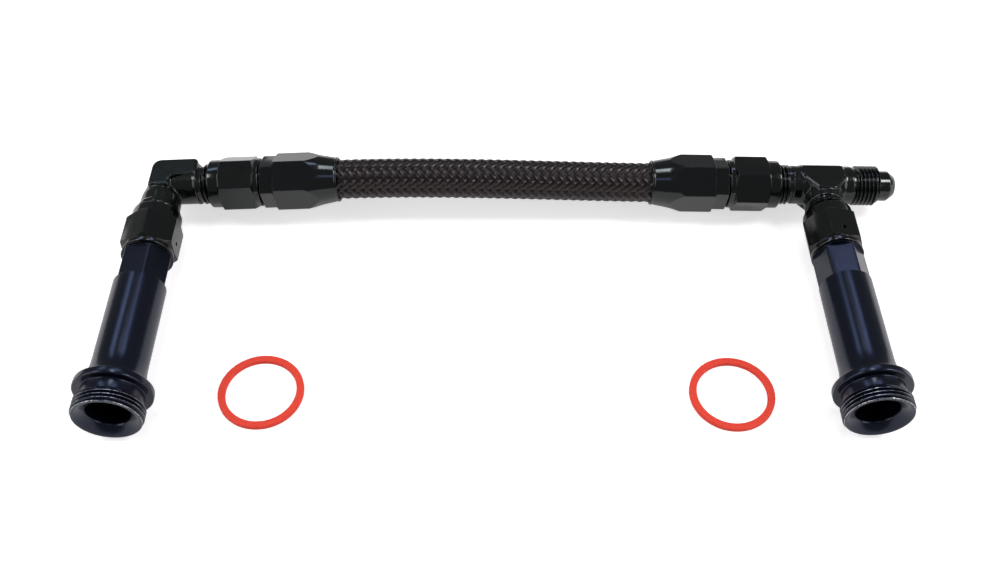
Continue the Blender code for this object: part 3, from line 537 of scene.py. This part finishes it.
elbow_parts = outline_block(
    [(12.7, -6.4), (12.7, 1.3), (3.9, 1.3), (3.9, 6.2), (-3.6, 6.2), (-3.6, -6.4)], 7.2,
    (1.6, 0.8, 1.6, 0.0, 0.8, 3.2), 0.9)
add_moved(elbow_parts, turned([
    (0.0, 0.0, 0.0), (7.0, 0.0, 0.0), (7.0, 12.0, 0.2), (7.2, 12.3, 0.1), (7.2, 13.0, 0.4),
    (0.0, 13.0, 0.0),
], closed=False), ALONG_RUN)
add_moved(elbow_parts, turned([
    (0.0, -5.5, 0.0), (3.9, -3.9, 0.0), (5.5, 0.0, 1.5), (6.9, 8.0, 0.5), (6.9, 12.0, 0.3),
    (7.4, 12.5, 0.2), (7.4, 14.7, 0.5), (0.0, 14.7, 0.0),
], closed=False), ALONG_LEG)
elbow = forged(elbow_parts, "elbow_forging", forging_place(ELBOW_CORNER, ELBOW_RUN), FORGED_FINISH)
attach(elbow, "root")
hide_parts("elbow_body")
flare_end("elbow_hose_end", stand(ELBOW_CORNER, ELBOW_RUN), 8.0, 14.6, 23.7, 24.9, RUN_FINISH)
flare_end("elbow_inlet_end", stand(ELBOW_CORNER, LEG_DOWN), 8.0, 15.6, 21.8, 23.0, LEG_FINISH)


# Tee: a forging like the elbow, with a branch to the right inlet and a free male end that takes
# the supply hose. Its square pads narrow toward the branch, and all three ends are threaded.
tee_parts = outline_block(
    [(7.3, -3.0), (7.3, 2.8), (3.0, 8.0), (-3.0, 8.0), (-7.3, 2.8), (-7.3, -3.0)], 7.3,
    (0.6, 0.6, 0.6, 0.6, 0.6, 0.6), 0.5)
run_profile = [
    (0.0, 0.0, 0.0), (7.2, 0.0, 0.0), (7.2, 7.1, 0.3), (6.9, 7.9, 0.3), (6.9, 11.0, 0.4), (0.0, 11.0, 0.0),
]
add_moved(tee_parts, turned(run_profile, closed=False), ALONG_RUN)
add_moved(tee_parts, turned(run_profile, closed=False), AGAINST_RUN)
add_moved(tee_parts, turned([
    (0.0, 0.0, 0.0), (6.9, 0.0, 0.0), (6.9, 11.0, 0.4), (0.0, 11.0, 0.0),
], closed=False), ALONG_LEG)
tee = forged(tee_parts, "tee_forging", forging_place(TEE_CORNER, TEE_RUN), FORGED_FINISH)
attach(tee, "root")
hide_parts("tee_body")
flare_end("tee_hose_end", stand(TEE_CORNER, TEE_RUN), 8.0, 12.0, 22.3, 23.5, RUN_FINISH)
flare_end("tee_supply_end", stand(TEE_CORNER, -TEE_RUN), 8.0, 12.0, 20.4, 24.2, RUN_FINISH)
flare_end("tee_inlet_end", stand(TEE_CORNER, LEG_DOWN), 8.0, 12.0, 21.8, 23.0, LEG_FINISH)


# Hose nipples: the swivel end of each hose fitting, turned with a thin hexagon. The seat is
# inside the nut, and the thread and the barbed tail are inside the socket and the hose.
NIPPLE_BACK = 23.3
NIPPLE_FRONT = 18.8
NIPPLE_CORNERS = 9.35
NIPPLE_FLATS = 16.2


def hose_nipple(name, node, place, turn):
    """The hexagon and seat of one nipple, from the nut's mouth on; turn is that of the flats."""
    profile = [
        (PASSAGE, NIPPLE_BACK, 0.0), (9.0, NIPPLE_BACK, 0.0), (NIPPLE_CORNERS, NIPPLE_BACK - 0.25, 0.0),
        (NIPPLE_CORNERS, NIPPLE_FRONT + 0.25, 0.0), (9.0, NIPPLE_FRONT, 0.0),
        (TAIL_RADIUS, NIPPLE_FRONT, 0.0), (TAIL_RADIUS, 8.0, 0.0), (PASSAGE, 8.0, 0.0),
    ]
    nipple = piece_from(turned(profile), name, place, RUN_FINISH)
    bar = piece_from(hexagon(NIPPLE_FLATS, 0.0, 40.0, turn, 0.25), "hexagon_bar", place, RUN_FINISH)
    join_by("INTERSECT", nipple, bar)
    smooth(nipple)
    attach(nipple, "root")
    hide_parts(node)


hose_nipple("nipple_left", "hose_nipple_left", left_hose_end, 10.0)
hose_nipple("nipple_right", "hose_nipple_right", right_hose_end, -9.0)


# Hose sockets: hexagon bar turned down to a round mouth, so the six flats end in pointed arcs.
# Each screws over its nipple and grips the hose, with a rounded lip round the braid.
SOCKET_FRONT = 23.6
SOCKET_MOUTH = SOCKET_FRONT + 22.3
SOCKET_FLATS = 18.0
SOCKET_CORNERS = 10.39
SOCKET_BORE = 7.3
SOCKET_GRIP = 14.8


def hose_socket(name, node, place, turn):
    """One socket, placed from the nut's mouth like its nipple; turn is that of the flats."""
    profile = [
        (SOCKET_BORE, SOCKET_MOUTH, 0.15), (8.0, SOCKET_MOUTH, 0.3), (8.0, SOCKET_MOUTH - 0.7, 0.25),
        (7.85, SOCKET_MOUTH - 0.9, 0.1), (9.0, SOCKET_FRONT + 15.4, 1.2),
        (SOCKET_CORNERS, SOCKET_FRONT + 10.9, 0.0), (SOCKET_CORNERS, SOCKET_FRONT + 0.3, 0.0),
        (9.9, SOCKET_FRONT, 0.0), (6.5, SOCKET_FRONT, 0.0), (6.5, SOCKET_MOUTH - SOCKET_GRIP, 0.0),
        (SOCKET_BORE, SOCKET_MOUTH - SOCKET_GRIP, 0.0),
    ]
    socket = piece_from(turned(profile, segments=9), name, place, RUN_FINISH)
    bar = piece_from(hexagon(SOCKET_FLATS, 0.0, 60.0, turn, 0.3), "hexagon_bar", place, RUN_FINISH)
    join_by("INTERSECT", socket, bar)
    smooth(socket, 8.5)
    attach(socket, "root")
    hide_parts(node)


hose_socket("socket_left", "hose_socket_left", left_hose_end, 3.0)
hose_socket("socket_right", "hose_socket_right", right_hose_end, -11.0)


# Hose: a fuel rubber liner under a tight cover of black nylon, braided from flat bundles of yarn
# that go over two and under two. It rises in a shallow arch, because the fittings lean a little.
LEFT_MOUTH = ELBOW_CORNER + ELBOW_RUN * (ELBOW_NUT_MOUTH + SOCKET_MOUTH)
RIGHT_MOUTH = TEE_CORNER + TEE_RUN * (TEE_NUT_MOUTH + SOCKET_MOUTH)
HOSE_SPAN = (RIGHT_MOUTH - LEFT_MOUTH).length
BRAID_TUCK = 2.0
BUNDLES = 12
BRAID_LEAD = 36.0
BRAID_TURN = math.radians(33.0)
BRAID_MIDDLE = 6.8
BUNDLE_HALF_WIDTH = 1.08
BUNDLE_EDGE_RADIUS = 6.55
BUNDLE_RISE = 0.2
BUNDLE_CROWN = 0.44
BUNDLE_ROW = 0.5
BUNDLE_COLUMNS = 6
CROSSING_SHARPNESS = 1.5


def hose_point(along):
    """Point of the hose's axis at a share of the free length, straight inside the sockets."""
    if along < 0.0:
        return LEFT_MOUTH + ELBOW_RUN * HOSE_SPAN * along
    if along > 1.0:
        return RIGHT_MOUTH - TEE_RUN * HOSE_SPAN * (along - 1.0)
    return (LEFT_MOUTH * (2.0 * along ** 3 - 3.0 * along ** 2 + 1.0)
            + ELBOW_RUN * HOSE_SPAN * (along ** 3 - 2.0 * along ** 2 + along)
            + RIGHT_MOUTH * (3.0 * along ** 2 - 2.0 * along ** 3)
            - TEE_RUN * HOSE_SPAN * (along ** 3 - along ** 2))


def on_hose(place, angle, radius):
    """Point at a place in millimetres along the hose, an angle round it and a radius from its axis."""
    along = place / HOSE_SPAN
    centre = hose_point(along)
    z = (hose_point(along + 0.002) - hose_point(along - 0.002)).normalized()
    x = (UP - z * UP.dot(z)).normalized()
    return centre + (x * math.cos(angle) + z.cross(x) * math.sin(angle)) * radius


def add_bundle(bm, number, way):
    """One bundle of yarn, wound round the hose one way, over two and under two of the others."""
    start = -BRAID_TUCK
    length = HOSE_SPAN + 2.0 * BRAID_TUCK
    rows = int(length / BUNDLE_ROW)
    grid = bmesh.ops.create_grid(bm, x_segments=rows, y_segments=BUNDLE_COLUMNS, size=0.5, calc_uvs=False)
    lean = math.atan2(BRAID_LEAD, math.tau * BRAID_MIDDLE)
    sheet = bm.loops.layers.uv.verify()
    places = {}
    for vert in grid["verts"]:
        along = start + (vert.co.x + 0.5) * length
        across = 2.0 * vert.co.y * BUNDLE_HALF_WIDTH
        places[vert] = (along, across)
    for face in {f for v in grid["verts"] for f in v.link_faces}:
        for loop in face.loops:
            along, across = places[loop.vert]
            loop[sheet].uv = (along / 10.0, across / 10.0)
    for vert, (along, across) in places.items():
        place = along - way * across * math.cos(lean)
        angle = (math.tau * (number / BUNDLES + way * along / BRAID_LEAD) + BRAID_TURN
                 + across * math.sin(lean) / BRAID_MIDDLE)
        crossing = 2.0 * BUNDLES * along / BRAID_LEAD + way * 2.0 * number
        phase = 0.5 if way > 0 else 2.5
        wave = math.cos(math.tau * (crossing - phase) / 4.0)
        rise = max(-1.0, min(1.0, CROSSING_SHARPNESS * wave))
        crown = 1.0 - (across / BUNDLE_HALF_WIDTH) ** 2
        radius = BUNDLE_EDGE_RADIUS + BUNDLE_RISE * rise + BUNDLE_CROWN * crown
        vert.co = on_hose(place, angle, radius)


braid_bm = bmesh.new()
braid_bm.loops.layers.uv.new("yarn")
for number in range(BUNDLES):
    add_bundle(braid_bm, number, 1)
    add_bundle(braid_bm, number, -1)
bmesh.ops.recalc_face_normals(braid_bm, faces=braid_bm.faces)

nylon = bpy.data.materials.new("braided_nylon_yarn")
nylon.use_nodes = True
nodes, links = nylon.node_tree.nodes, nylon.node_tree.links
nylon_shader = nodes["Principled BSDF"]
nylon_shader.inputs["Roughness"].default_value = 0.30
nylon_shader.inputs["IOR"].default_value = 1.42
nylon_shader.inputs["Specular Tint"].default_value = (1.0, 0.86, 0.88, 1.0)
yarn_map = nodes.new("ShaderNodeUVMap")
yarn_map.uv_map = "yarn"
yarn_stretch = nodes.new("ShaderNodeVectorMath")
yarn_stretch.operation = "MULTIPLY"
yarn_stretch.inputs[1].default_value = (6.0, 90.0, 1.0)
links.new(yarn_map.outputs["UV"], yarn_stretch.inputs[0])
fibres = nodes.new("ShaderNodeTexNoise")
fibres.inputs["Scale"].default_value = 1.0
fibres.inputs["Detail"].default_value = 3.0
links.new(yarn_stretch.outputs[0], fibres.inputs["Vector"])
yarn_colour = nodes.new("ShaderNodeValToRGB")
yarn_colour.color_ramp.elements[0].position = 0.3
yarn_colour.color_ramp.elements[0].color = (0.002, 0.0015, 0.0015, 1.0)
yarn_colour.color_ramp.elements[1].position = 0.75
yarn_colour.color_ramp.elements[1].color = (0.010, 0.007, 0.007, 1.0)
links.new(fibres.outputs["Fac"], yarn_colour.inputs["Fac"])
links.new(yarn_colour.outputs["Color"], nylon_shader.inputs["Base Color"])
yarn_bump = nodes.new("ShaderNodeBump")
yarn_bump.inputs["Strength"].default_value = 0.5
yarn_bump.inputs["Distance"].default_value = 0.00005
links.new(fibres.outputs["Fac"], yarn_bump.inputs["Height"])
links.new(yarn_bump.outputs["Normal"], nylon_shader.inputs["Normal"])

braid = piece_from(braid_bm, "nylon_braid", Matrix.Scale(MM, 4), nylon)
braid.data.shade_smooth()
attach(braid, "root")
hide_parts("hose_braid")

rubber = grained("liner_rubber", (0.014, 0.013, 0.013), 0.0, 600.0)
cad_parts["hose_liner"].data.materials.clear()
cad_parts["hose_liner"].data.materials.append(rubber)


# Gaskets: a flat ring for each inlet, stamped from bright red fibre. They are loose, and lie on
# the bench in front of the hose.
red_fibre = bpy.data.materials.new("red_gasket_fibre")
red_fibre.use_nodes = True
nodes, links = red_fibre.node_tree.nodes, red_fibre.node_tree.links
fibre_shader = nodes["Principled BSDF"]
fibre_shader.inputs["Roughness"].default_value = 0.6
fibre_coordinates = nodes.new("ShaderNodeTexCoord")
speckle = nodes.new("ShaderNodeTexNoise")
speckle.inputs["Scale"].default_value = 1800.0
speckle.inputs["Detail"].default_value = 4.0
links.new(fibre_coordinates.outputs["Object"], speckle.inputs["Vector"])
fibre_colour = nodes.new("ShaderNodeValToRGB")
fibre_colour.color_ramp.elements[0].position = 0.35
fibre_colour.color_ramp.elements[0].color = (0.84, 0.040, 0.016, 1.0)
fibre_colour.color_ramp.elements[1].position = 0.7
fibre_colour.color_ramp.elements[1].color = (0.98, 0.065, 0.028, 1.0)
links.new(speckle.outputs["Fac"], fibre_colour.inputs["Fac"])
links.new(fibre_colour.outputs["Color"], fibre_shader.inputs["Base Color"])
fibre_bump = nodes.new("ShaderNodeBump")
fibre_bump.inputs["Strength"].default_value = 0.3
fibre_bump.inputs["Distance"].default_value = 0.00005
links.new(speckle.outputs["Fac"], fibre_bump.inputs["Height"])
links.new(fibre_bump.outputs["Normal"], fibre_shader.inputs["Normal"])

GASKET_OUTER = 13.8
GASKET_INNER = 11.43
GASKET_THICK = 1.6
for side_name, x, y in (("left", -82.3318, -36.6558), ("right", 69.7682, -37.9558)):
    ring = turned([
        (GASKET_OUTER, GASKET_THICK, 0.3), (GASKET_OUTER, 0.0, 0.2), (GASKET_INNER, 0.0, 0.2),
        (GASKET_INNER, GASKET_THICK, 0.3),
    ], steps=128)
    place = Matrix.Translation((x * MM, y * MM, 0.0)) @ Matrix.Scale(MM, 4)
    gasket = piece_from(ring, "gasket_" + side_name, place, red_fibre)
    smooth(gasket)
    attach(gasket, "root")
    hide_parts("inlet_gasket_" + side_name)


# Studio: a plain white table that keeps the soft shadows, and a dim room that shows white behind
# it. Two keys, two wide side lamps and one overhead light the line, and four small lamps, seen
# only as reflections, draw the streaks on the barrels and sockets.
ROOM_REFLECTION = 0.16


def reflected_rays(nodes, links, sight):
    """1 for the rays that gloss and glass send out, 0 for the others."""
    either = nodes.new("ShaderNodeMath")
    either.operation = "MAXIMUM"
    links.new(sight.outputs["Is Glossy Ray"], either.inputs[0])
    links.new(sight.outputs["Is Transmission Ray"], either.inputs[1])
    return either.outputs[0]


def rise_outwards(nodes, links, distance, start, end, low):
    """Goes from low to 1 between two distances from the line, in metres."""
    ramp = nodes.new("ShaderNodeMapRange")
    ramp.inputs["From Min"].default_value = start
    ramp.inputs["From Max"].default_value = end
    ramp.inputs["To Min"].default_value = low
    ramp.inputs["To Max"].default_value = 1.0
    links.new(distance, ramp.inputs["Value"])
    return ramp.outputs["Result"]


floor_bm = bmesh.new()
bmesh.ops.create_grid(floor_bm, x_segments=1, y_segments=1, size=3.0)
floor_white = bpy.data.materials.new("white_table")
floor_white.use_nodes = True
nodes, links = floor_white.node_tree.nodes, floor_white.node_tree.links
floor_shader = nodes["Principled BSDF"]
floor_shader.inputs["Base Color"].default_value = (0.86, 0.86, 0.86, 1.0)
floor_shader.inputs["Roughness"].default_value = 0.9
floor_shader.inputs["Emission Color"].default_value = (1.0, 0.985, 1.0, 1.0)
sight = nodes.new("ShaderNodeLightPath")
floor_coordinates = nodes.new("ShaderNodeTexCoord")
distance = nodes.new("ShaderNodeVectorMath")
distance.operation = "LENGTH"
links.new(floor_coordinates.outputs["Object"], distance.inputs[0])
fade = rise_outwards(nodes, links, distance.outputs["Value"], 0.3, 1.0, 0.64)
glow = rise_outwards(nodes, links, distance.outputs["Value"], 0.15, 0.6, 0.30)
mirrored = nodes.new("ShaderNodeMath")
mirrored.operation = "MULTIPLY"
links.new(reflected_rays(nodes, links, sight), mirrored.inputs[0])
links.new(glow, mirrored.inputs[1])
lift = nodes.new("ShaderNodeMath")
lift.operation = "MULTIPLY_ADD"
links.new(sight.outputs["Is Camera Ray"], lift.inputs[0])
links.new(fade, lift.inputs[1])
links.new(mirrored.outputs[0], lift.inputs[2])
links.new(lift.outputs[0], floor_shader.inputs["Emission Strength"])
floor = piece_from(floor_bm, "table", Matrix.Identity(4), floor_white)

world = bpy.data.worlds.new("room")
world.use_nodes = True
nodes, links = world.node_tree.nodes, world.node_tree.links
room = nodes["Background"]
room.inputs["Color"].default_value = (0.85, 0.95, 1.0, 1.0)
room.inputs["Strength"].default_value = 0.05
backdrop = nodes.new("ShaderNodeBackground")
backdrop.inputs["Color"].default_value = (1.0, 1.0, 1.0, 1.0)
world_sight = nodes.new("ShaderNodeLightPath")
seen = nodes.new("ShaderNodeMath")
seen.operation = "MULTIPLY_ADD"
links.new(reflected_rays(nodes, links, world_sight), seen.inputs[0])
seen.inputs[1].default_value = ROOM_REFLECTION
links.new(world_sight.outputs["Is Camera Ray"], seen.inputs[2])
shown = nodes.new("ShaderNodeMixShader")
links.new(seen.outputs[0], shown.inputs["Fac"])
links.new(room.outputs["Background"], shown.inputs[1])
links.new(backdrop.outputs["Background"], shown.inputs[2])
links.new(shown.outputs["Shader"], nodes["World Output"].inputs["Surface"])
bpy.context.scene.world = world


def lamp(name, place, width, height, power, colour, streaks=True, shade=True):
    """A flat lamp aimed at the line; streaks and shade say whether gloss and matt surfaces see it."""
    data = bpy.data.lights.new(name, "AREA")
    data.shape = "RECTANGLE"
    data.size = width
    data.size_y = height
    data.energy = power
    data.color = colour
    light = bpy.data.objects.new(name, data)
    aim = -Vector(place).normalized()
    light.matrix_world = Matrix.Translation(place) @ aim.to_track_quat("-Z", "Y").to_matrix().to_4x4()
    light.visible_glossy = streaks
    light.visible_diffuse = shade
    bpy.context.scene.collection.objects.link(light)


lamp("top_back", (-0.03, 0.33, 0.93), 0.12, 0.30, 1.3, (0.92, 0.98, 1.0), shade=False)
lamp("top_front", (-0.02, -0.42, 0.93), 0.30, 0.18, 0.3, (0.40, 0.50, 1.0), shade=False)
lamp("back_left", (-0.55, 0.65, 0.93), 0.34, 0.18, 0.8, (0.55, 0.72, 1.0), shade=False)
lamp("back_right", (0.22, 0.64, 0.98), 0.26, 0.16, 0.6, (0.55, 0.66, 1.0), shade=False)
lamp("key_left", (-0.76, 0.0, 0.92), 0.3, 0.3, 3.6, (1.0, 0.99, 0.97))
lamp("key_right", (0.76, 0.0, 0.92), 0.3, 0.3, 5.2, (1.0, 0.98, 0.98))
lamp("side_left", (-1.15, -0.30, 0.60), 1.0, 0.7, 4.8, (1.0, 0.99, 0.96))
lamp("side_right", (1.15, -0.30, 0.60), 1.0, 0.7, 4.8, (1.0, 0.97, 0.98))
lamp("soft_top", (-0.06, 0.05, 1.10), 0.30, 0.30, 1.9, (1.0, 0.97, 0.95), streaks=False)
bpy.context.scene.view_settings.view_transform = "Standard"
